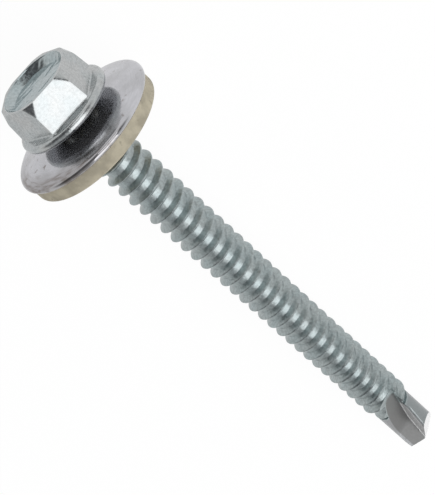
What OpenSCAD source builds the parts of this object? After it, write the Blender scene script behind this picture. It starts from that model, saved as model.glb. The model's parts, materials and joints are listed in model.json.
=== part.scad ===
// Hex washer head self-drilling screw with a captive bonded sealing washer.
// Millimetres. The screw lies as it comes to rest, on the washer's rim and its drill point.

/* [Head] */
// Width across the flats at the foot of the hexagon
hex_w = 9.9; // [9:0.1:10.2]
// Draft of each flat, in degrees
hex_draft = 4; // [0:0.5:5]
// Height of the head from its bearing face to its top rim
head_h = 5.45; // [5:0.05:6.5]
// Slope of the cone that trims the hexagon's corners, in degrees
corner_slope = 69; // [45:1:75]
// Diameter of the flange
flange_d = 12.4; // [12.2:0.1:14]
// Thickness of the flange at its rounded edge
flange_t = 1.2; // [0.8:0.1:1.5]
// Slope of the flange's upper face, in degrees
flange_slope = 10; // [4:1:15]
// Diameter of the dished recess at the top rim
recess_d = 8.8; // [5:0.1:8.9]
// Diameter of the recess at its floor
recess_floor_d = 6.7; // [3:0.1:6.9]
// Depth of the recess
recess_depth = 1; // [0.4:0.05:1.6]

/* [Shank] */
// Length from the bearing face to the point
length = 69; // [45:1:100]
// Diameter over the thread's crests
thread_d = 6.04; // [5.9:0.02:6.3]
// Diameter of the core between the threads
core_d = 4.6; // [4.4:0.05:4.8]
// Distance from one turn to the next
pitch = 1.814; // [1.6:0.002:2]
// Width of the thread at its foot
thread_foot = 0.95; // [0.7:0.05:1.1]
// Width of the thread's crest
thread_crest = 0.16; // [0.1:0.02:0.3]
// Diameter of the plain neck inside the washer
neck_d = 4.9; // [4.85:0.05:5]
// Length of the plain neck
neck_len = 5.17; // [5.1:0.01:7]

/* [Drill point] */
// Diameter of the drill
drill_d = 5.1; // [4.9:0.05:5.3]
// Length kept for the drill below the thread
drill_room = 7.6; // [7:0.2:12]
// Angle between the two cutting lips, in degrees
point_angle = 92; // [84:1:100]
// Clearance angle of the face behind each lip, in degrees
lip_relief = 35; // [28:1:38]
// Length of the flute's level floor, up from the point
flute_len = 4.6; // [4:0.2:6]
// Distance of the flute's floor from the axis
flute_floor = 0.2; // [0.15:0.05:0.4]
// Sideways tilt of the flute, in degrees
flute_tilt = 12; // [6:1:16]
// Slope of the flute's run-out, in degrees
flute_runout = 18; // [15:1:24]
// Distance of the flute's wall from the axis where the run-out begins
wall_offset = 0.22; // [0.15:0.01:0.4]
// Angle of the flute's wall to the axis, in degrees
wall_skew = 6.5; // [4:0.5:8]

/* [Sealing washer] */
// Diameter of the metal plate
plate_d = 19; // [17:0.1:22]
// Thickness of the metal plate
plate_t = 0.8; // [0.6:0.05:1]
// Dish of the plate, in degrees
plate_dish = 12; // [4:1:13]
// Distance from the bearing face to the plate's rim
plate_drop = 2.35; // [2.35:0.05:3]
// Bore of the metal plate
plate_bore_d = 6.9; // [6.5:0.1:8]
// Diameter of the rubber seal
seal_d = 18.2; // [15:0.1:18.4]
// Thickness of the rubber below the plate's rim
seal_t = 1.9; // [1.4:0.05:2]
// Bore of the rubber seal, just wider than the thread
seal_bore_d = 6.3; // [6.2:0.05:6.6]
// Rounding of the rubber's lower edge
seal_round = 0.35; // [0.1:0.05:0.5]

/* [Hidden] */
$fn = 96;
eps = 0.05;

// Head
flange_r = flange_d / 2;
edge_r = flange_t / 2;
hex_over = 1;
hex_over_w = hex_w - 2 * (head_h + hex_over) * tan(hex_draft);
rim_over = 0.28;
rim_r = hex_w / 2 - head_h * tan(hex_draft) + rim_over;
flange_foot_r = 3;
recess_dish = 0.1;

// Thread
steps = 24;
core_r = core_d / 2;
crest_r = thread_d / 2;
thread_gap = 0.03;
thread_start = -neck_len - thread_foot / 2 - thread_gap;
turns = round((length - neck_len - drill_room) / pitch);
fade_in = 0.75;
fade_out = 0.4;
fade_rest = 0.6;
fade_end = turns - fade_rest;
neck_overlap = 0.3;
thread_top = -neck_len + neck_overlap;
thread_bottom = thread_start - turns * pitch - thread_foot;

// Drill point
drill_r = drill_d / 2;
drill_gap = 0.15;
drill_top = thread_start - fade_end * pitch - drill_gap;
lip_slope = 90 - point_angle / 2;
runout_start = flute_len - length;
runout_r = 6;
far = 6;

// Washer
plate_r = plate_d / 2;
plate_edge_r = plate_t / 2;
plate_rim_r = plate_r - plate_edge_r;
plate_bore_r = plate_bore_d / 2;
seal_r = seal_d / 2;
seal_bore_r = seal_bore_d / 2;
seal_face = -plate_drop - plate_edge_r - seal_t;
seal_taper = 0.15;

// A lip's outer corner: its turn about the axis from its height above the point, and the reverse
function lip_turn(h) =
    flute_tilt + asin((cos(flute_tilt) * wall_offset + tan(wall_skew) * (h - flute_len)) / drill_r);
function lip_height(turn) =
    drill_r * (tan(lip_slope) * cos(turn) + tan(lip_relief) / cos(lip_slope) * sin(turn));

// The rest: the plate's rounded rim, the lower lip's corner and the last full turn touch the floor.
rest_roll = 22.8;
land_turn = lip_turn(lip_height(lip_turn(drill_r)));
land_r = drill_r * cos(rest_roll + land_turn);
land_z = length - lip_height(land_turn);
rest_run = land_z - plate_drop;
rest_drop = plate_rim_r - land_r;
rest_angle = atan2(rest_drop, rest_run) + asin(plate_edge_r / norm([rest_run, rest_drop]));
axis_height = plate_drop * sin(rest_angle) + plate_rim_r * cos(rest_angle) + plate_edge_r;
reach_back = head_h * cos(rest_angle) + rim_r * sin(rest_angle);
reach_front = length * cos(rest_angle);
axis_start = (reach_back - reach_front) / 2;

// Points along an arc, from one angle to another
function arc(centre, r, from, to, n) =
    [for (i = [0:n]) centre + r * [cos(from + (to - from) * i / n), sin(from + (to - from) * i / n)]];

// Height of the plate's middle surface at a radius
function dish(r) = -plate_drop + (plate_rim_r - r) * tan(plate_dish);

// Share of the full thread depth after a number of turns
function depth_share(t) = max(0, min(1, t / fade_in, (fade_end - t) / fade_out));

// A point on the shank, turning clockwise on the way down as a right-hand thread does
function shank_point(r, t, z) = [r * cos(360 * t), -r * sin(360 * t), z];

// One upright column of points down the shank, crossing each turn's foot, crest, crest and foot
function thread_column(j) = concat(
    [shank_point(core_r, j / steps, thread_top)],
    [for (n = [0:turns - 1]) each thread_section(n + j / steps)],
    [shank_point(core_r, j / steps, thread_bottom)]);

function thread_section(t) =
    let (z = thread_start - t * pitch, top_r = core_r + (crest_r - core_r) * depth_share(t))
    [shank_point(core_r, t, z + thread_foot / 2),
     shank_point(top_r, t, z + thread_crest / 2),
     shank_point(top_r, t, z - thread_crest / 2),
     shank_point(core_r, t, z - thread_foot / 2)];

// Core and thread as one closed skin: the last column joins the first one turn further down
module thread() {
    size = 4 * turns + 2;
    last = (steps - 1) * size;
    points = [for (j = [0:steps - 1]) each thread_column(j)];
    sides = [for (j = [0:steps - 2]) for (m = [0:size - 2])
        [j * size + m, j * size + m + 1, (j + 1) * size + m + 1, (j + 1) * size + m]];
    seam = [for (m = [1:size - 7]) [last + m, last + m + 1, m + 5, m + 4]];
    seam_top = [last, last + 1, 5, 4, 3, 2, 1, 0];
    seam_bottom = concat([size - 2], [for (m = [size - 6:size - 1]) last + m], [size - 1]);
    top = [for (j = [0:steps - 1]) j * size];
    bottom = [for (j = [steps - 1:-1:0]) j * size + size - 1];
    polyhedron(points, concat(sides, seam, [seam_top, seam_bottom, top, bottom]), convexity = 10);
}

module flange() {
    crown = 90 - flange_slope;
    edge = arc([flange_r - edge_r, edge_r], edge_r, -90, crown, 9);
    shoulder = edge[9];
    rise = (shoulder[0] - flange_foot_r) * tan(flange_slope);
    rotate_extrude()
        polygon(concat([[0, 0]], edge, [[flange_foot_r, shoulder[1] + rise], [0, shoulder[1] + rise]]));
}

module hexagon() {
    trim_r = rim_r + head_h / tan(corner_slope);
    intersection() {
        translate([0, 0, eps])
            rotate([0, 0, 30])
                cylinder(h = head_h + hex_over, r1 = hex_w / sqrt(3), r2 = hex_over_w / sqrt(3), $fn = 6);
        rotate_extrude()
            polygon([[0, 0], [trim_r, 0], [rim_r, head_h], [0, head_h]]);
    }
}

module recess() {
    rotate_extrude()
        polygon([[0, head_h - recess_depth], [recess_floor_d / 2, head_h - recess_depth + recess_dish],
            [recess_d / 2, head_h], [recess_d / 2, head_h + 1], [0, head_h + 1]]);
}

module screw() {
    color([0.72, 0.74, 0.76])
        lie()
            union() {
                difference() {
                    union() {
                        flange();
                        hexagon();
                    }
                    recess();
                }
                translate([0, 0, -neck_len])
                    cylinder(h = neck_len + 0.5, d = neck_d);
                difference() {
                    union() {
                        thread();
                        translate([0, 0, -length - 1])
                            cylinder(h = drill_top + length + 1, d = drill_d);
                    }
                    for (turn = [0, 180])
                        rotate([0, 0, turn]) {
                            point_relief();
                            flute();
                        }
                }
            }
}

// The face behind one lip, cut away by a block below it
module point_relief() {
    translate([0, 0, -length])
        rotate([0, -lip_slope, 0])
            rotate([lip_relief, 0, 0])
                translate([-far, -far, -2 * far])
                    cube([2 * far, 2 * far, 2 * far]);
}

// The flute in front of one lip: its wall ends in the lip, its flat floor runs out along the shank
module flute() {
    blend = runout_r * tan(flute_runout / 2);
    rise = far - flute_floor;
    bend = arc([flute_floor + runout_r, -blend], runout_r, 180, 180 - flute_runout, 6);
    translate([0, wall_offset, runout_start])
        rotate([-wall_skew, 0, flute_tilt])
            rotate([90, 0, 0])
                linear_extrude(height = far)
                    polygon(concat([[flute_floor, -2 * far]], bend,
                        [[far, rise / tan(flute_runout)], [far, -2 * far]]));
}

module washer_plate() {
    lift = plate_edge_r / cos(plate_dish);
    rim = arc([plate_rim_r, -plate_drop], plate_edge_r, 90 - plate_dish, -90 - plate_dish, 10);
    inner = dish(plate_bore_r);
    color([0.76, 0.75, 0.78])
        lie()
            rotate_extrude()
                polygon(concat([[plate_bore_r, inner + lift]], rim, [[plate_bore_r, inner - lift]]));
}

module rubber_seal() {
    lift = plate_edge_r / cos(plate_dish);
    foot = arc([seal_r - seal_taper - seal_round, seal_face + seal_round], seal_round, 0, -90, 6);
    top = dish(plate_bore_r) - lift;
    color([0.66, 0.62, 0.54])
        lie()
            rotate_extrude()
                polygon(concat([[seal_bore_r, top], [plate_bore_r, top], [seal_r, dish(seal_r) - lift]],
                    foot, [[seal_bore_r, seal_face]]));
}

// Lays a piece down with its head to the back and its point to the front
module lie() {
    translate([axis_start, 0, axis_height])
        rotate([0, rest_angle - 90, 0])
            rotate([0, 0, rest_roll])
                children();
}

screw();
washer_plate();
rubber_seal();
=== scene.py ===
import json
import math
import bmesh
import bpy
from mathutils import Matrix, Vector, noise

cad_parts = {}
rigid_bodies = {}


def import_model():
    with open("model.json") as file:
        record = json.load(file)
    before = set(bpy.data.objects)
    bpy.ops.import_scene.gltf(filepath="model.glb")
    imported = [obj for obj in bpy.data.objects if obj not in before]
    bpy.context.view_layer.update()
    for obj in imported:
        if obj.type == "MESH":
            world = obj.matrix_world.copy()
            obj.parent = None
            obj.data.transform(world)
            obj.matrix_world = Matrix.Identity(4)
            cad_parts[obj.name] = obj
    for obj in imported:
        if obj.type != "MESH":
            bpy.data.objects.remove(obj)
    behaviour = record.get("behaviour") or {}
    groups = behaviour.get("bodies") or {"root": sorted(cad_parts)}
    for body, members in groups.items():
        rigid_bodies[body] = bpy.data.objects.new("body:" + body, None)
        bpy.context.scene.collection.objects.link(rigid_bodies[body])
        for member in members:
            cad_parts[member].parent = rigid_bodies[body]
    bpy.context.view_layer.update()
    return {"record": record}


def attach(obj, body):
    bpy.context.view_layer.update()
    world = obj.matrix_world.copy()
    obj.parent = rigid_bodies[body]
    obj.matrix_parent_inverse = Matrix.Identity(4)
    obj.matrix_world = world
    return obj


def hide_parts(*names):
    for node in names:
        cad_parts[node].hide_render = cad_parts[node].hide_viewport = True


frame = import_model()
mm = 0.001
spinJoint = frame["record"]["behaviour"]["joints"][0]
screwBody = spinJoint["parent"]
washerBody = spinJoint["child"]

# the screw's own frame: z towards the head, zero at the flange's bearing face, x at the facet in view
restPose = {"seatDrop": 2.35, "rollDeg": 22.8}  # bearing face to the washer's rim, roll about the shank
toTip = Vector(spinJoint["axis"]).normalized()
bearingCentre = Vector(spinJoint["pos_m"]) - toTip * restPose["seatDrop"] * mm
sideways = Vector((0, 1, 0))
lieDown = Matrix((sideways.cross(-toTip), sideways, -toTip)).transposed().to_4x4()
rollOver = Matrix.Rotation(math.radians(restPose["rollDeg"]), 4, "Z")
layScrew = Matrix.Translation(bearingCentre) @ lieDown @ rollOver


def slope(degrees):
    return math.tan(math.radians(degrees))


def arcPoints(centreR, centreZ, radius, fromDeg, toDeg, count):
    angles = [math.radians(fromDeg + (toDeg - fromDeg) * i / count) for i in range(count + 1)]
    return [(centreR + radius * math.cos(a), centreZ + radius * math.sin(a)) for a in angles]


def linePoints(start, end, count):
    # leaves out the start, which the profile already has
    return [tuple(s + (e - s) * i / count for s, e in zip(start, end)) for i in range(1, count + 1)]


def lathe(profile, columns, closed=False):
    # profile is (radius, height) in mm
    bm = bmesh.new()
    verts = [bm.verts.new((r * mm, 0, z * mm)) for r, z in profile]
    ends = verts[1:] + verts[:1] if closed else verts[1:]
    edges = [bm.edges.new(pair) for pair in zip(verts, ends)]
    bmesh.ops.spin(bm, geom=verts + edges, cent=(0, 0, 0), axis=(0, 0, 1), angle=2 * math.pi,
                   steps=columns, use_merge=True, use_duplicate=False)
    bmesh.ops.remove_doubles(bm, verts=bm.verts, dist=0.0005 * mm)
    bmesh.ops.recalc_face_normals(bm, faces=bm.faces)
    return bm


def objectFrom(name, bm):
    mesh = bpy.data.meshes.new(name)
    bm.to_mesh(mesh)
    bm.free()
    obj = bpy.data.objects.new(name, mesh)
    bpy.context.scene.collection.objects.link(obj)
    return obj


def finishPiece(name, bm, body, node, material, smoothDeg):
    # the piece is made in the screw's frame and laid down in its mesh
    bmesh.ops.transform(bm, matrix=layScrew, verts=bm.verts)
    obj = objectFrom(name, bm)
    obj.data.shade_smooth()
    obj.data.set_sharp_from_angle(angle=math.radians(smoothDeg))
    obj.data.materials.clear()
    obj.data.materials.append(material)
    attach(obj, body)
    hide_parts(node)
    print(name, "has", len(obj.data.polygons), "faces")
    return obj


joinGap = 0.002  # points closer than this are one after a join


def combine(target, others, operation):
    # joins or cuts the target by the others, which are used up
    group = bpy.data.collections.new("operands")
    for other in others:
        group.objects.link(other)
    modifier = target.modifiers.new("combine", "BOOLEAN")
    modifier.operand_type = "COLLECTION"
    modifier.collection = group
    modifier.operation = operation
    modifier.solver = "EXACT"
    depsgraph = bpy.context.evaluated_depsgraph_get()
    result = bpy.data.meshes.new_from_object(target.evaluated_get(depsgraph))
    target.modifiers.clear()
    bm = bmesh.new()
    bm.from_mesh(result)
    bmesh.ops.remove_doubles(bm, verts=bm.verts, dist=joinGap * mm)  # slivers along the seam
    bmesh.ops.dissolve_degenerate(bm, edges=bm.edges, dist=joinGap * mm)
    bm.to_mesh(result)
    bm.free()
    target.data = result
    for other in others:
        bpy.data.objects.remove(other)
    bpy.data.collections.remove(group)


def softMin(a, b, blend):
    closeness = max(blend - abs(a - b), 0) / blend
    return min(a, b) - closeness * closeness * blend / 4


# head with its flange and neck, in mm
headSize = {
    "acrossFlats": 9.9, "draftDeg": 4, "height": 5.45, "edgeBlend": 0.1,
    "coneR": 4.85, "coneRun": 1.3, "cornerSlopeDeg": 69,
    "flangeR": 6.2, "flangeThick": 1.2, "flangeSlopeDeg": 10, "topRound": 0.5, "underRound": 0.6,
    "footR": 5, "footFillet": 0.16, "shoulderR": 5.7, "shoulderOut": 5.72,
    "recessR": 4.4, "recessFloorR": 3.6, "recessDepth": 1.0, "recessDish": 0.1,
    "rimRound": 0.14, "rimInset": 0.12, "floorWave": 0.04, "wallWave": 0.07,
    "neckR": 2.45, "neckEnd": -5.4, "neckFillet": 0.3, "columns": 240, "cornerPower": 150,
}


def hexRadius(angle, z):
    flat = headSize["acrossFlats"] / 2 - z * slope(headSize["draftDeg"])
    power = headSize["cornerPower"]  # a higher power makes a sharper corner
    total = sum(max(math.cos(angle - k * math.pi / 3), 0) ** power for k in range(6))
    return flat / total ** (1 / power)


def flangeTop(r):
    s = headSize
    return s["flangeThick"] + (s["flangeR"] - s["topRound"] - r) * slope(s["flangeSlopeDeg"])


def headProfile():
    s = headSize
    top = s["height"]
    coneEnd = s["coneR"] + s["coneRun"]
    footZ = flangeTop(s["footR"]) + s["footFillet"]
    floorZ = top - s["recessDepth"]
    inset = s["rimInset"]
    rim = s["rimRound"]
    profile = [(0, floorZ)]
    profile += linePoints(profile[-1], (s["recessFloorR"], floorZ + s["recessDish"]), 24)
    profile += linePoints(profile[-1], (s["recessR"] - inset, top - inset), 20)
    profile += arcPoints(s["recessR"] + rim - inset, top - rim, rim, 165, 90, 4)
    profile += linePoints(profile[-1], (s["coneR"], top), 6)
    profile += linePoints(profile[-1], (coneEnd, top - s["coneRun"] * slope(s["cornerSlopeDeg"])), 40)
    profile += linePoints(profile[-1], (coneEnd, footZ), 8)
    profile += arcPoints(s["footR"] + s["footFillet"], footZ, s["footFillet"], 200, 270, 4)
    profile += linePoints(profile[-1], (s["shoulderR"], flangeTop(s["shoulderR"])), 3)
    topR = s["topRound"]
    profile += arcPoints(s["flangeR"] - topR, s["flangeThick"] - topR, topR, 90 - s["flangeSlopeDeg"], 0, 8)
    profile += arcPoints(s["flangeR"] - s["underRound"], s["underRound"], s["underRound"], 0, -90, 12)
    profile += linePoints(profile[-1], (s["neckR"] + s["neckFillet"], 0), 4)
    profile += arcPoints(s["neckR"] + s["neckFillet"], -s["neckFillet"], s["neckFillet"], 90, 180, 5)[1:]
    profile += linePoints(profile[-1], (s["neckR"], s["neckEnd"]), 4)
    return profile + [(0, s["neckEnd"])], footZ


def makeHead():
    s = headSize
    profile, footZ = headProfile()
    bm = lathe(profile, s["columns"])
    for v in bm.verts:
        r = math.hypot(v.co.x, v.co.y) / mm
        z = v.co.z / mm
        angle = math.atan2(v.co.y, v.co.x)
        newR = r
        if z > footZ - 0.001 and r > s["recessR"] + 0.01:
            newR = softMin(r, hexRadius(angle, z), s["edgeBlend"])
        elif z > flangeTop(s["shoulderR"]) - 0.001 and s["footR"] - 0.1 < r < s["shoulderR"]:
            # from the foot of the facets out to the flange's shoulder
            share = (r - s["footR"]) / (s["shoulderR"] - s["footR"])
            newR = hexRadius(angle, z) * (1 - share) + s["shoulderOut"] * share
        elif z > s["height"] - s["recessDepth"] - 0.01 and r < s["recessR"] - 0.1:
            fade = min(1, (s["recessR"] - 0.1 - r) / 0.3)
            wallHighlightMask = min(1, max(0, (r - s["recessFloorR"] + 0.5) / 0.5))
            deep = s["floorWave"] + (s["wallWave"] - s["floorWave"]) * wallHighlightMask
            place = Vector((v.co.x * 1500, v.co.y * 480, 0.7))
            v.co.z += (noise.noise(place) + 0.5 * noise.noise(place * 2.1)) * deep * fade * mm
        if r > 0:
            v.co.x *= newR / r
            v.co.y *= newR / r
    return bm


# rolled thread, in mm
threadSize = {
    "coreR": 2.3, "crestR": 3.02, "pitch": 1.814, "foot": 0.95, "crestWidth": 0.16, "blend": 0.12,
    "start": -5.675, "turns": 31, "fadeIn": 0.75, "fadeEnd": 30.4, "fadeOut": 0.4,
    "stepsPerTurn": 60, "rows": 18, "endRoom": 1.2,
}


def ridgeHeight(offset):
    s = threadSize
    full = s["crestR"] - s["coreR"]
    flank = (s["foot"] / 2 - abs(offset)) / (s["foot"] / 2 - s["crestWidth"] / 2) * full
    return -softMin(-softMin(flank, full, s["blend"]), 0, s["blend"])


def ridgeShare(turn):
    s = threadSize
    rise = min(1, max(0, turn / s["fadeIn"]))
    fall = min(1, max(0, (s["fadeEnd"] - turn) / s["fadeOut"]))
    return min(rise, fall)


def makeThread():
    s = threadSize
    bm = bmesh.new()
    offsets = [s["pitch"] * (0.5 - i / s["rows"]) for i in range(s["rows"] + 1)]
    verts = [bm.verts.new(((s["coreR"] + ridgeHeight(z)) * mm, 0, (s["start"] + z) * mm)) for z in offsets]
    edges = [bm.edges.new(pair) for pair in zip(verts, verts[1:])]
    bmesh.ops.spin(bm, geom=verts + edges, cent=(0, 0, 0), axis=(0, 0, -1), angle=2 * math.pi * s["turns"],
                   steps=s["stepsPerTurn"] * s["turns"], dvec=(0, 0, -s["pitch"] / s["stepsPerTurn"] * mm),
                   use_merge=False, use_duplicate=False)
    bmesh.ops.remove_doubles(bm, verts=bm.verts, dist=0.001 * mm)
    for v in bm.verts:
        r = math.hypot(v.co.x, v.co.y) / mm
        part = (-math.atan2(v.co.y, v.co.x) / (2 * math.pi)) % 1
        whole = round((s["start"] - v.co.z / mm) / s["pitch"] - part)
        newR = s["coreR"] + (r - s["coreR"]) * ridgeShare(whole + part)
        v.co.x *= newR / r
        v.co.y *= newR / r
    # both open ends are carried to a flat ring and closed
    end = s["start"] - s["turns"] * s["pitch"]
    middle = (s["start"] + end) / 2
    for level in (s["start"] + s["endRoom"], end - s["endRoom"]):
        rim = [e for e in bm.edges if e.is_boundary and (e.verts[0].co.z / mm > middle) == (level > middle)]
        grown = bmesh.ops.extrude_edge_only(bm, edges=rim)["geom"]
        for v in grown:
            if isinstance(v, bmesh.types.BMVert):
                v.co.z = level * mm
        bmesh.ops.remove_doubles(bm, verts=[v for v in bm.verts if abs(v.co.z / mm - level) < 0.001],
                                 dist=0.01 * mm)
        cap = [e for e in bm.edges if e.is_boundary and abs(e.verts[0].co.z / mm - level) < 0.001]
        bmesh.ops.contextual_create(bm, geom=cap)
    bmesh.ops.dissolve_degenerate(bm, edges=bm.edges, dist=0.0005 * mm)
    bmesh.ops.recalc_face_normals(bm, faces=bm.faces)
    return bm


# drill point, in mm and degrees
drillSize = {
    "radius": 2.55, "top": -60.97, "length": 68.98, "pointDeg": 83, "lipReliefDeg": 28, "fluteLength": 4.6,
    "floorX": 0.2, "tiltDeg": 12, "runoutDeg": 18, "runoutR": 6, "wallY": 0.22, "wallSkewDeg": 6.5,
    "edgeTopR": 0.42, "edgePointR": 0.3, "edgeFrom": -60.6, "edgeFade": 1.5,
    "edgeOut": 4, "edgeBelow": 0.6, "reach": 6,
}
lipSlopeDeg = 90 - drillSize["pointDeg"] / 2
runoutZ = drillSize["fluteLength"] - drillSize["length"]


def turned(degrees, axis):
    return Matrix.Rotation(math.radians(degrees), 4, axis)


def moved(x, y, z):
    return Matrix.Translation(Vector((x, y, z)) * mm)


def blockFrom(corner, size, place):
    # a block with its lowest corner and size in mm, then placed
    bm = bmesh.new()
    middle = [c + d / 2 for c, d in zip(corner, size)]
    stretch = Matrix.Diagonal(Vector(size).to_4d() * mm)
    stretch[3][3] = 1
    bmesh.ops.create_cube(bm, size=1, matrix=place @ moved(*middle) @ stretch)
    return bm


def fluteCutter(half):
    s = drillSize
    far = s["reach"]
    blend = s["runoutR"] * slope(s["runoutDeg"] / 2)
    outline = [(s["floorX"], -2 * far)]
    outline += arcPoints(s["floorX"] + s["runoutR"], -blend, s["runoutR"], 180, 180 - s["runoutDeg"], 10)
    outline += [(far, (far - s["floorX"]) / slope(s["runoutDeg"])), (far, -2 * far)]
    bm = bmesh.new()
    face = bm.faces.new([bm.verts.new((x * mm, 0, z * mm)) for x, z in outline])
    grown = bmesh.ops.extrude_face_region(bm, geom=[face])["geom"]
    outer = [v for v in grown if isinstance(v, bmesh.types.BMVert)]
    bmesh.ops.translate(bm, vec=(0, -far * mm, 0), verts=outer)
    bmesh.ops.recalc_face_normals(bm, faces=bm.faces)
    place = half @ moved(0, s["wallY"], runoutZ) @ turned(s["tiltDeg"], "Z") @ turned(-s["wallSkewDeg"], "X")
    bmesh.ops.transform(bm, matrix=place, verts=bm.verts)
    return bm


def edgeOutline(z):
    # cross-section of the round between the flute's wall and the land, open towards the flute
    s = drillSize
    tilt = math.radians(s["tiltDeg"])
    along = Vector((math.cos(tilt), math.sin(tilt)))
    wall = Vector((0, s["wallY"] + slope(s["wallSkewDeg"]) / math.cos(tilt) * (z - runoutZ)))
    share = (z + s["length"]) / (s["edgeFrom"] + s["length"])
    radius = s["edgePointR"] + (s["edgeTopR"] - s["edgePointR"]) * min(1, share)
    radius *= min(1, max(0.03, (s["edgeFrom"] - z) / s["edgeFade"]))
    start = wall + Vector((-along.y, along.x)) * radius
    reach = s["radius"] - radius + 0.02
    before = start.dot(along)
    centre = start + along * (math.sqrt(before ** 2 - start.length_squared + reach * reach) - before)
    outward = math.degrees(math.atan2(centre.y, centre.x))
    points = arcPoints(centre.x, centre.y, radius, s["tiltDeg"] - 90, outward, 14)
    far = Vector(points[-1]).normalized() * s["edgeOut"]
    return points + [tuple(far), (s["edgeOut"], points[0][1] - 0.3)]


def edgeCutter(half):
    low = -drillSize["length"] - drillSize["edgeBelow"]
    levels = [low + (drillSize["edgeFrom"] - low) * i / 24 for i in range(25)]
    bm = bmesh.new()
    rings = [[bm.verts.new((x * mm, y * mm, z * mm)) for x, y in edgeOutline(z)] for z in levels]
    for lower, upper in zip(rings, rings[1:]):
        for i in range(len(lower)):
            bm.faces.new((lower[i - 1], lower[i], upper[i], upper[i - 1]))
    bm.faces.new(rings[0])
    bm.faces.new(rings[-1])
    bmesh.ops.recalc_face_normals(bm, faces=bm.faces)
    bmesh.ops.transform(bm, matrix=half, verts=bm.verts)
    return bm


def drillCutters(half):
    s = drillSize
    far = s["reach"]
    face = half @ moved(0, 0, -s["length"]) @ turned(-lipSlopeDeg, "Y") @ turned(s["lipReliefDeg"], "X")
    behindLip = blockFrom((-far, -far, -2 * far), (2 * far, 2 * far, 2 * far), face)
    return [behindLip, fluteCutter(half), edgeCutter(half)]


def makeDrillBody():
    s = drillSize
    bm = bmesh.new()
    low = -s["length"] - 1
    bmesh.ops.create_cone(bm, cap_ends=True, segments=120, radius1=s["radius"] * mm, radius2=s["radius"] * mm,
                          depth=(s["top"] - low) * mm, matrix=moved(0, 0, (s["top"] + low) / 2))
    return bm


def makeScrew(material):
    screw = objectFrom("screwShank", makeThread())
    combine(screw, [objectFrom("drillBody", makeDrillBody())], "UNION")
    print("thread and drill body joined")
    cutters = []
    for k in range(2):
        for bm in drillCutters(turned(180 * k, "Z")):
            cutters.append(objectFrom("cutter%d" % len(cutters), bm))
    combine(screw, cutters, "DIFFERENCE")
    print("drill point cut")
    combine(screw, [objectFrom("headBlank", makeHead())], "UNION")
    bm = bmesh.new()
    bm.from_mesh(screw.data)
    bpy.data.objects.remove(screw)
    return finishPiece("zincScrew", bm, screwBody, "screw", material, 32)


# sealing washer, in mm
washerSize = {
    "plateRimR": 9.1, "plateThick": 0.8, "dishDeg": 12, "rimDrop": 2.35, "plateBoreR": 3.45,
    "plateBoreRound": 0.12,
    "sealR": 9.1, "sealThick": 1.9, "sealBoreR": 3.15, "sealRound": 0.35,
    "sealBoreRound": 0.2, "columns": 180,
}


def dishHeight(r):
    return -washerSize["rimDrop"] + (washerSize["plateRimR"] - r) * slope(washerSize["dishDeg"])


def makePlate(material):
    s = washerSize
    half = s["plateThick"] / 2
    tilt = math.radians(s["dishDeg"])
    upX, upZ = half * math.sin(tilt), half * math.cos(tilt)
    boreR = s["plateBoreR"]
    boreZ = dishHeight(boreR)
    soft = s["plateBoreRound"]
    rimR = s["plateRimR"]
    rimZ = dishHeight(rimR)
    profile = arcPoints(boreR + soft + upX, boreZ + upZ - soft, soft, 180, 90 - s["dishDeg"], 4)
    profile += linePoints(profile[-1], (rimR + upX, rimZ + upZ), 12)
    profile += arcPoints(rimR, rimZ, half, 90 - s["dishDeg"], -90 - s["dishDeg"], 14)[1:]
    profile += linePoints(profile[-1], (boreR, boreZ - upZ), 6)
    bm = lathe(profile, s["columns"], closed=True)
    return finishPiece("washerPlate", bm, washerBody, "washer_plate", material, 40)


def makeSeal(material):
    s = washerSize
    half = s["plateThick"] / 2
    drop = half / math.cos(math.radians(s["dishDeg"]))
    face = -s["rimDrop"] - half - s["sealThick"]
    outer = s["sealR"]
    topZ = dishHeight(outer) - drop
    profile = [(s["sealBoreR"], dishHeight(s["sealBoreR"]) - drop)]
    profile += linePoints(profile[-1], (outer, topZ), 6)
    profile += linePoints(profile[-1], (outer, face + s["sealRound"]), 5)
    profile += arcPoints(outer - s["sealRound"], face + s["sealRound"], s["sealRound"], 0, -90, 8)[1:]
    soft = s["sealBoreRound"]
    profile += linePoints(profile[-1], (s["sealBoreR"] + soft, face), 5)
    profile += arcPoints(s["sealBoreR"] + soft, face + soft, soft, -90, -180, 4)[1:]
    bm = lathe(profile, s["columns"], closed=True)
    return finishPiece("rubberSeal", bm, washerBody, "rubber_seal", material, 40)


# finishes, colours are linear
def addNode(tree, kind, **settings):
    node = tree.nodes.new(kind)
    for name, value in settings.items():
        setattr(node, name, value)
    return node


def setInputs(node, **values):
    for name, value in values.items():
        node.inputs[name.replace("_", " ")].default_value = value
    return node


def stretchRange(tree, value, low, high, newLow=0, newHigh=1):
    node = addNode(tree, "ShaderNodeMapRange", interpolation_type="SMOOTHSTEP")
    values = (low, high, newLow, newHigh)
    for name, number in zip(("From Min", "From Max", "To Min", "To Max"), values):
        node.inputs[name].default_value = number
    tree.links.new(value, node.inputs["Value"])
    return node.outputs["Result"]


def mixColors(tree, share, first, second, blend="MIX"):
    node = addNode(tree, "ShaderNodeMix", data_type="RGBA", blend_type=blend)
    for socket, value in ((node.inputs[0], share), (node.inputs[6], first), (node.inputs[7], second)):
        if isinstance(value, bpy.types.NodeSocket):
            tree.links.new(value, socket)
        elif isinstance(value, tuple):
            socket.default_value = (*value, 1)
        else:
            socket.default_value = value
    return node.outputs[2]


def calc(tree, operation, first, second):
    node = addNode(tree, "ShaderNodeMath", operation=operation)
    for socket, value in zip(node.inputs, (first, second)):
        if isinstance(value, bpy.types.NodeSocket):
            tree.links.new(value, socket)
        else:
            socket.default_value = value
    return node.outputs[0]


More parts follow.
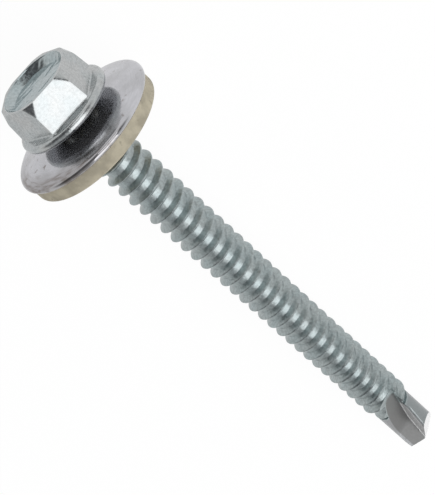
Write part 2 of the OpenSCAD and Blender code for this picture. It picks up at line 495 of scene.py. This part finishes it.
def makeWearGroup():
    # blotches, fine grain and small dark specks that all three finishes share
    tree = bpy.data.node_groups.new("surfaceWear", "ShaderNodeTree")
    tree.interface.new_socket("Vector", in_out="INPUT", socket_type="NodeSocketVector")
    for name in ("Blotch Scale", "Grain Scale", "Speck Scale"):
        tree.interface.new_socket(name, in_out="INPUT", socket_type="NodeSocketFloat")
    for name in ("Blotches", "Grain", "Specks"):
        tree.interface.new_socket(name, in_out="OUTPUT", socket_type="NodeSocketFloat")
    source = addNode(tree, "NodeGroupInput")
    result = addNode(tree, "NodeGroupOutput")
    for name, low, high in (("Blotch", 0.36, 0.64), ("Grain", 0.25, 0.75), ("Speck", 0.64, 0.74)):
        pattern = setInputs(addNode(tree, "ShaderNodeTexNoise"), Detail=3)
        tree.links.new(source.outputs["Vector"], pattern.inputs["Vector"])
        tree.links.new(source.outputs[name + " Scale"], pattern.inputs["Scale"])
        output = {"Blotch": "Blotches", "Grain": "Grain", "Speck": "Specks"}[name]
        tree.links.new(stretchRange(tree, pattern.outputs["Fac"], low, high), result.inputs[output])
    return tree


def makeRingGroup():
    # marks that run round the axis, and the distance from it
    tree = bpy.data.node_groups.new("ringMarks", "ShaderNodeTree")
    tree.interface.new_socket("Vector", in_out="INPUT", socket_type="NodeSocketVector")
    for name in ("Around", "Across"):
        tree.interface.new_socket(name, in_out="INPUT", socket_type="NodeSocketFloat")
    for name in ("Marks", "Radius"):
        tree.interface.new_socket(name, in_out="OUTPUT", socket_type="NodeSocketFloat")
    source = addNode(tree, "NodeGroupInput")
    result = addNode(tree, "NodeGroupOutput")
    flat = setInputs(addNode(tree, "ShaderNodeMapping"), Scale=(1, 1, 0))
    radius = addNode(tree, "ShaderNodeVectorMath", operation="LENGTH")
    way = addNode(tree, "ShaderNodeVectorMath", operation="NORMALIZE")
    around = addNode(tree, "ShaderNodeVectorMath", operation="SCALE")
    outward = addNode(tree, "ShaderNodeCombineXYZ")
    total = addNode(tree, "ShaderNodeVectorMath", operation="ADD")
    pattern = setInputs(addNode(tree, "ShaderNodeTexNoise"), Scale=1, Detail=3)
    tree.links.new(source.outputs["Vector"], flat.inputs["Vector"])
    tree.links.new(flat.outputs["Vector"], radius.inputs[0])
    tree.links.new(flat.outputs["Vector"], way.inputs[0])
    tree.links.new(way.outputs["Vector"], around.inputs[0])
    tree.links.new(source.outputs["Around"], around.inputs["Scale"])
    scaled = calc(tree, "MULTIPLY", radius.outputs["Value"], source.outputs["Across"])
    tree.links.new(scaled, outward.inputs["Z"])
    tree.links.new(around.outputs["Vector"], total.inputs[0])
    tree.links.new(outward.outputs["Vector"], total.inputs[1])
    tree.links.new(total.outputs["Vector"], pattern.inputs["Vector"])
    tree.links.new(pattern.outputs["Fac"], result.inputs["Marks"])
    tree.links.new(radius.outputs["Value"], result.inputs["Radius"])
    return tree


wearGroup = makeWearGroup()
ringGroup = makeRingGroup()


def startMaterial(name, blotchScale, grainScale, speckScale):
    # a material whose patterns lie in the screw's own frame, with its wear group placed
    material = bpy.data.materials.new(name)
    material.use_nodes = True
    tree = material.node_tree
    coords = addNode(tree, "ShaderNodeTexCoord")
    back = layScrew.inverted()
    inFrame = addNode(tree, "ShaderNodeMapping")
    setInputs(inFrame, Location=back.translation, Rotation=back.to_euler())
    tree.links.new(coords.outputs["Object"], inFrame.inputs["Vector"])
    place = inFrame.outputs["Vector"]
    wear = addNode(tree, "ShaderNodeGroup", node_tree=wearGroup)
    setInputs(wear, Blotch_Scale=blotchScale, Grain_Scale=grainScale, Speck_Scale=speckScale)
    tree.links.new(place, wear.inputs["Vector"])
    return material, tree, tree.nodes["Principled BSDF"], place, wear.outputs


def addRings(tree, place, around, across):
    rings = setInputs(addNode(tree, "ShaderNodeGroup", node_tree=ringGroup), Around=around, Across=across)
    tree.links.new(place, rings.inputs["Vector"])
    return rings.outputs


def raiseBump(tree, shader, height, strength, depth):
    bump = setInputs(addNode(tree, "ShaderNodeBump"), Strength=strength, Distance=depth * mm)
    tree.links.new(height, bump.inputs["Height"])
    tree.links.new(bump.outputs["Normal"], shader.inputs["Normal"])


zincLook = {
    "grey": (0.48, 0.49, 0.49), "teal": (0.45, 0.475, 0.48), "speck": (0.14, 0.15, 0.15),
    # the thread's tint is its teal tint plus painted shade: its zinc is darker than the head's for the dim
    # surroundings it reflects
    "threadFrom": -3.5, "threadShadeTint": (0.83, 0.90, 0.905), "recessTint": (0.90, 0.98, 1.0), "recessFrom": 4.1,
    # the wall colour is a painted highlight for the light strip along the flute's wall
    "pointFrom": -60.9, "land": (0.26, 0.28, 0.285), "margin": (0.34, 0.34, 0.35), "wall": (0.72, 0.72, 0.72),
    # the flute colour is a painted shade for the dark reflection inside the flute
    "flute": (0.20, 0.20, 0.198), "fluteR": 2.28, "fluteFrom": -58.0, "ground": (0.92, 0.92, 0.92),
    "gloss": 0.18, "dull": 0.30, "threadDull": 0.11, "recessGloss": 0.08,
}


def pointMasks(tree, place):
    # the freshly ground faces behind the lips (bare metal with a painted highlight), the flute's inside
    # (painted shade) and its wall (painted highlight); all repeat half a turn round
    s = drillSize
    x, y, z = place
    acrossSlope = slope(s["lipReliefDeg"]) / math.cos(math.radians(lipSlopeDeg))
    rise = calc(tree, "MULTIPLY", x, slope(lipSlopeDeg))
    rise = calc(tree, "ADD", rise, calc(tree, "MULTIPLY", y, acrossSlope))
    above = calc(tree, "SUBTRACT", calc(tree, "ABSOLUTE", rise, 0), calc(tree, "ADD", z, s["length"] * mm))
    ground = stretchRange(tree, above, -0.06 * mm, -0.02 * mm)
    tilt = math.radians(s["tiltDeg"])
    fromWall = calc(tree, "MULTIPLY", x, math.sin(tilt))
    fromWall = calc(tree, "SUBTRACT", fromWall, calc(tree, "MULTIPLY", y, math.cos(tilt)))
    fromWall = calc(tree, "MULTIPLY", fromWall, calc(tree, "SIGN", x, 0))
    shift = calc(tree, "MULTIPLY", calc(tree, "SUBTRACT", z, runoutZ * mm), slope(s["wallSkewDeg"]))
    fromWall = calc(tree, "ADD", calc(tree, "ADD", fromWall, shift), s["wallY"] * math.cos(tilt) * mm)
    inside = stretchRange(tree, fromWall, 0.04 * mm, 0.1 * mm)
    wall = calc(tree, "SUBTRACT", stretchRange(tree, fromWall, -0.06 * mm, -0.02 * mm), inside)
    return ground, inside, wall


def makeZinc():
    s = zincLook
    material, tree, shader, place, wear = startMaterial("zincPlating", 420, 3200, 1500)
    split = addNode(tree, "ShaderNodeSeparateXYZ")
    tree.links.new(place, split.inputs[0])
    x, y, z = split.outputs
    rings = addRings(tree, place, 3, 7000)
    shank = stretchRange(tree, z, s["threadFrom"] * mm, (s["threadFrom"] - 2) * mm)
    point = stretchRange(tree, z, s["pointFrom"] * mm, (s["pointFrom"] - 0.5) * mm)
    ground, inside, wall = pointMasks(tree, split.outputs)
    cut = stretchRange(tree, rings["Radius"], s["fluteR"] * mm, (s["fluteR"] - 0.08) * mm)
    belowRunout = stretchRange(tree, z, s["fluteFrom"] * mm, (s["fluteFrom"] - 0.6) * mm)
    cut = calc(tree, "MULTIPLY", cut, belowRunout)
    inFlute = calc(tree, "MULTIPLY", cut, inside)
    wallHighlightMask = calc(tree, "MULTIPLY", calc(tree, "MULTIPLY", cut, point), wall)
    recessR = headSize["recessR"]
    inRecess = stretchRange(tree, rings["Radius"], recessR * mm, (recessR - 0.1) * mm)
    nearTop = stretchRange(tree, z, s["recessFrom"] * mm, (s["recessFrom"] + 0.1) * mm)
    inRecess = calc(tree, "MULTIPLY", inRecess, nearTop)
    onLand = stretchRange(tree, calc(tree, "MULTIPLY", x, y), 1.0 * mm * mm, 2.8 * mm * mm)
    color = mixColors(tree, wear["Blotches"], s["grey"], s["teal"])
    color = mixColors(tree, 1.0, color, stretchRange(tree, wear["Grain"], 0, 1, 0.87, 1.08), "MULTIPLY")
    # painted shade on the thread: its zinc is made darker and more teal than the head's
    color = mixColors(tree, shank, color, s["threadShadeTint"], "MULTIPLY")
    color = mixColors(tree, shank, color, stretchRange(tree, wear["Grain"], 0.1, 0.9, 0.95, 1.05), "MULTIPLY")
    color = mixColors(tree, inRecess, color, s["recessTint"], "MULTIPLY")
    pointColor = mixColors(tree, onLand, s["margin"], s["land"])
    color = mixColors(tree, calc(tree, "MULTIPLY", point, 0.85), color, pointColor)
    # painted shade: the flute's inside gets a near-black colour for the dark reflection it shows
    color = mixColors(tree, calc(tree, "MULTIPLY", inFlute, 0.9), color, s["flute"])
    # painted highlight: the flute's wall gets a pale colour for the light strip it shows
    color = mixColors(tree, wallHighlightMask, color, s["wall"])
    color = mixColors(tree, calc(tree, "MULTIPLY", wear["Specks"], 0.4), color, s["speck"])
    # the ground faces are bare ground metal with a painted highlight: near white, for the bright facet at the
    # point
    color = mixColors(tree, ground, color, s["ground"])
    tree.links.new(color, shader.inputs["Base Color"])
    # the flute's wall is left matt and pale, a painted highlight for the light strip along it
    tree.links.new(stretchRange(tree, wallHighlightMask, 0, 1, 1, 0.35), shader.inputs["Metallic"])
    rough = stretchRange(tree, wear["Grain"], 0, 1, s["gloss"], s["dull"])
    rough = calc(tree, "ADD", rough, calc(tree, "MULTIPLY", shank, s["threadDull"]))
    rough = calc(tree, "SUBTRACT", rough, calc(tree, "MULTIPLY", inRecess, s["gloss"] - s["recessGloss"]))
    tree.links.new(rough, shader.inputs["Roughness"])
    height = calc(tree, "ADD", wear["Grain"], calc(tree, "MULTIPLY", rings["Marks"], 0.6))
    # rolling leaves the thread rougher than the head
    height = calc(tree, "MULTIPLY", height, stretchRange(tree, shank, 0, 1, 1, 2.4))
    height = calc(tree, "MULTIPLY", height, stretchRange(tree, inFlute, 0, 1, 1, 0.3))
    raiseBump(tree, shader, height, 0.17, 0.03)
    return material


plateLook = {
    "bright": (0.57, 0.57, 0.60), "dull": (0.48, 0.48, 0.50), "stain": (0.16, 0.13, 0.11),
    "stainR": (7.2, 8.8), "gloss": 0.06, "rough": 0.14,
}


def makePlateMetal():
    s = plateLook
    material, tree, shader, place, wear = startMaterial("plateMetal", 300, 1700, 900)
    split = addNode(tree, "ShaderNodeSeparateXYZ")
    tree.links.new(place, split.inputs[0])
    fine = addRings(tree, place, 6, 9000)
    broad = addRings(tree, place, 4, 2600)
    color = mixColors(tree, wear["Blotches"], s["bright"], s["dull"])
    color = mixColors(tree, 1.0, color, stretchRange(tree, fine["Marks"], 0.3, 0.7, 0.94, 1.04), "MULTIPLY")
    # brown streaks run along the rim on one side
    towards = calc(tree, "MULTIPLY", calc(tree, "SUBTRACT", split.outputs["X"], split.outputs["Y"]), 0.707)
    nearRim = stretchRange(tree, broad["Radius"], s["stainR"][0] * mm, s["stainR"][1] * mm)
    where = calc(tree, "MULTIPLY", stretchRange(tree, towards, 3 * mm, 7.5 * mm), nearRim)
    streaks = calc(tree, "MULTIPLY", stretchRange(tree, broad["Marks"], 0.42, 0.66), where)
    color = mixColors(tree, calc(tree, "MULTIPLY", where, 0.3), color, s["stain"])
    color = mixColors(tree, calc(tree, "MULTIPLY", streaks, 0.7), color, s["stain"])
    color = mixColors(tree, calc(tree, "MULTIPLY", wear["Specks"], 0.7), color, s["stain"])
    tree.links.new(color, shader.inputs["Base Color"])
    shader.inputs["Metallic"].default_value = 0.92  # a thin dull film over the metal
    rough = stretchRange(tree, wear["Grain"], 0, 1, s["gloss"], s["rough"])
    tree.links.new(rough, shader.inputs["Roughness"])
    raiseBump(tree, shader, calc(tree, "ADD", wear["Blotches"], fine["Marks"]), 0.07, 0.04)
    return material


rubberLook = {"pale": (0.51, 0.463, 0.352), "deep": (0.37, 0.335, 0.255), "speck": (0.21, 0.19, 0.145)}


def makeRubber():
    s = rubberLook
    material, tree, shader, place, wear = startMaterial("sealRubber", 500, 2200, 1100)
    color = mixColors(tree, wear["Blotches"], s["pale"], s["deep"])
    color = mixColors(tree, calc(tree, "MULTIPLY", wear["Specks"], 0.5), color, s["speck"])
    tree.links.new(color, shader.inputs["Base Color"])
    tree.links.new(stretchRange(tree, wear["Grain"], 0, 1, 0.7, 0.9), shader.inputs["Roughness"])
    raiseBump(tree, shader, wear["Grain"], 0.3, 0.05)
    return material


zincScrew = makeScrew(makeZinc())
washerPlate = makePlate(makePlateMetal())
rubberSeal = makeSeal(makeRubber())

# camera at the photo's view of a 435 x 495 frame
cameraSetup = {
    "side": 152.95, "ahead": 59.26, "aimZ": -25.8, "rollDeg": 48.1, "focalPx": 1456.2, "longPx": 495,
}


def makeCamera():
    s = cameraSetup
    data = bpy.data.cameras.new("photoCamera")
    data.sensor_width = 36
    data.lens = s["focalPx"] * data.sensor_width / s["longPx"]
    data.clip_start = 0.01
    eye = Vector((s["side"], 0, s["ahead"])) * mm
    forward = (Vector((0, 0, s["aimZ"])) * mm - eye).normalized()
    right = forward.cross(Vector((0, 0, 1))).normalized()
    up = right.cross(forward)
    turn = Matrix((right, up, -forward)).transposed().to_4x4() @ turned(-s["rollDeg"], "Z")
    obj = bpy.data.objects.new("photoCamera", data)
    obj.matrix_world = layScrew @ Matrix.Translation(eye) @ turn
    bpy.context.scene.collection.objects.link(obj)
    bpy.context.scene.camera = obj


studio = {
    "floor": (0.90, 0.90, 0.90), "floorGlow": 0.93, "floorWhite": 1.02,
    # painted shade in reflections: the floor's glow that the metal sees is dimmer left of the screw than
    # right
    "mirrorShadeLeft": 0.52, "mirrorShadeRight": 0.80, "mirrorShadeFrom": -20,
    "walls": (0.92, 0.92, 0.91), "wallsUpTo": 0.20, "ceilingFrom": 0.56,
    "headCeiling": (0.12, 0.12, 0.125), "leftCeiling": (0.50, 0.505, 0.51),
    "rightCeiling": (0.66, 0.67, 0.68), "lampsAimZ": -20,
    "softBox": {"direction": (0.964, 0.0, -0.267), "width": 0.40, "height": 0.56, "power": 1.08},
    "fill": {"direction": (0.74, 0.10, 0.66), "width": 0.30, "height": 0.30, "power": 0.36},
}


def makeFloor():
    # white to the camera and duller in reflections, with the shadow kept by the part that is lit; in
    # reflections its glow is a painted shade, dimmer left of the screw than right
    bm = bmesh.new()
    bmesh.ops.create_grid(bm, x_segments=1, y_segments=1, size=2)
    floor = objectFrom("studioFloor", bm)
    material = bpy.data.materials.new("floorWhite")
    material.use_nodes = True
    tree = material.node_tree
    shader = tree.nodes["Principled BSDF"]
    shader.inputs["Base Color"].default_value = (*studio["floor"], 1)
    shader.inputs["Roughness"].default_value = 0.9
    shader.inputs["Specular IOR Level"].default_value = 0
    glow = addNode(tree, "ShaderNodeEmission")
    glow.inputs["Strength"].default_value = studio["floorWhite"]
    rays = addNode(tree, "ShaderNodeLightPath")
    split = addNode(tree, "ShaderNodeSeparateXYZ")
    tree.links.new(addNode(tree, "ShaderNodeTexCoord").outputs["Object"], split.inputs[0])
    # painted shade: the glow seen by glossy rays fades towards the left of the screw
    ends = (studio["mirrorShadeLeft"], studio["mirrorShadeRight"])
    strength = stretchRange(tree, split.outputs["Y"], studio["mirrorShadeFrom"] * mm, 0, *ends)
    mirrorShade = calc(tree, "MULTIPLY", rays.outputs["Is Glossy Ray"], strength)
    seen = calc(tree, "MAXIMUM", rays.outputs["Is Camera Ray"], mirrorShade)
    seen = calc(tree, "MAXIMUM", seen, rays.outputs["Is Transmission Ray"])
    mix = addNode(tree, "ShaderNodeMixShader")
    tree.links.new(calc(tree, "MULTIPLY", seen, studio["floorGlow"]), mix.inputs[0])
    tree.links.new(shader.outputs[0], mix.inputs[1])
    tree.links.new(glow.outputs[0], mix.inputs[2])
    tree.links.new(mix.outputs[0], tree.nodes["Material Output"].inputs["Surface"])
    floor.data.materials.append(material)


def makeLamp(name, direction, width, height, power, distance=0.5):
    # a soft lamp towards a direction in the screw's frame, its width across the shank
    towards = Vector(direction).normalized()
    across = Vector((0, 1, 0)).cross(towards).cross(-towards).normalized()
    turn = Matrix((across, towards.cross(across), towards)).transposed().to_4x4()
    lamp = bpy.data.objects.new(name, bpy.data.lights.new(name, "AREA"))
    lamp.data.shape = "RECTANGLE"
    lamp.data.size = width
    lamp.data.size_y = height
    lamp.data.energy = power
    place = Vector((0, 0, studio["lampsAimZ"])) * mm + towards * distance
    lamp.matrix_world = layScrew @ Matrix.Translation(place) @ turn
    bpy.context.scene.collection.objects.link(lamp)


def makeWorld():
    # pale walls under a ceiling that is dim over the head, and dimmer left of the shank than right of it
    world = bpy.data.worlds.new("studioAir")
    world.use_nodes = True
    tree = world.node_tree
    coords = addNode(tree, "ShaderNodeTexCoord")
    split = addNode(tree, "ShaderNodeSeparateXYZ")
    tree.links.new(coords.outputs["Generated"], split.inputs[0])
    share = stretchRange(tree, split.outputs["Y"], -0.3, 0.4)
    ceiling = mixColors(tree, share, studio["leftCeiling"], studio["rightCeiling"])
    share = stretchRange(tree, split.outputs["X"], -0.3, 0.5)
    ceiling = mixColors(tree, share, studio["headCeiling"], ceiling)
    share = stretchRange(tree, split.outputs["Z"], studio["wallsUpTo"], studio["ceilingFrom"])
    color = mixColors(tree, share, studio["walls"], ceiling)
    tree.links.new(color, tree.nodes["Background"].inputs["Color"])
    bpy.context.scene.world = world


makeCamera()
makeFloor()
for lampName in ("softBox", "fill"):
    makeLamp(lampName, **studio[lampName])
makeWorld()
print("camera, floor, lamps and world placed")
bpy.context.scene.view_settings.view_transform = "Standard"
